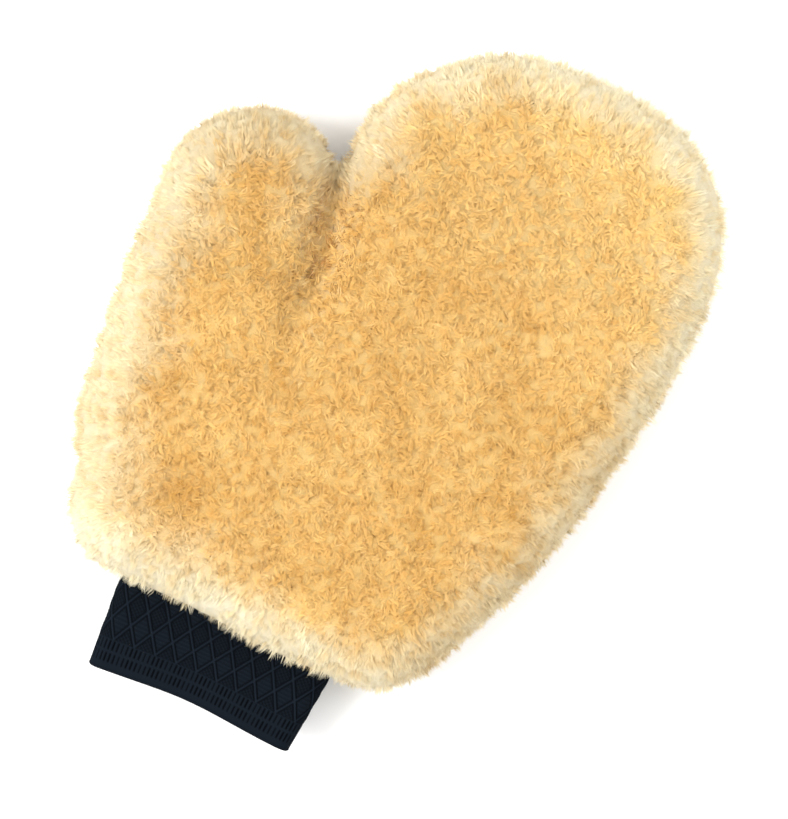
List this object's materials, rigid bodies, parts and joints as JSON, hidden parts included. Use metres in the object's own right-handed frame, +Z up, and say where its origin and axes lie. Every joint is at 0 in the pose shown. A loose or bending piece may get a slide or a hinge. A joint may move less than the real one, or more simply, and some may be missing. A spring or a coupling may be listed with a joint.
{
  "type": "wash mitt",
  "caption": "Sheepskin car wash mitt with a separate thumb: deep pile on both faces, hide lining the pocket, and a doubled knitted cuff with a ribbed band.",
  "frame": {"origin": "on the floor under the centre of the bounding box", "axes": "+Y from the cuff to the fingertips, +X away from the thumb, +Z up from the floor through the back panel to the front panel"},
  "size_m": [0.2292, 0.3082, 0.048],
  "materials": {
    "pile": "deep soft pile",
    "hide": "suede",
    "thread": "matte",
    "cuff_knit": "matte knit"
  },
  "bodies": {
    "hand": {"palm_front_pile": "pile", "palm_back_pile": "pile", "palm_front_hide": "hide", "palm_back_hide": "hide", "palm_edge_stitching": "thread", "knuckle_fold_pile": "pile", "thumb_fold_pile": "pile", "hem_fringe": "pile", "cuff_join_stitching": "thread"},
    "fingers": {"fingers_front_pile": "pile", "fingers_back_pile": "pile", "fingers_front_hide": "hide", "fingers_back_hide": "hide", "fingers_edge_stitching": "thread"},
    "thumb": {"thumb_front_pile": "pile", "thumb_back_pile": "pile", "thumb_front_hide": "hide", "thumb_back_hide": "hide", "thumb_edge_stitching": "thread"},
    "cuff": {"cuff_outer_ply": "cuff_knit", "cuff_inner_ply": "cuff_knit", "cuff_folded_edge": "cuff_knit", "cuff_side_seam": "cuff_knit"}
  },
  "joints": [
    {"name": "finger_fold", "type": "hinge", "parent": "hand", "child": "fingers", "pos_m": [0, 0.08, 0.0288], "axis": [1, 0, 0], "range_deg": [0, 60], "deforming": ["knuckle_fold_pile"]},
    {"name": "thumb_fold", "type": "hinge", "parent": "hand", "child": "thumb", "pos_m": [-0.036, 0.024, 0.0288], "axis": [0.9613, 0.2756, 0], "range_deg": [0, 60], "deforming": ["thumb_fold_pile"]},
    {"name": "cuff_fold", "type": "hinge", "parent": "hand", "child": "cuff", "pos_m": [-0.011, -0.103, 0.0288], "axis": [-1, 0, 0], "range_deg": [0, 60], "deforming": ["hem_fringe"]}
  ]
}
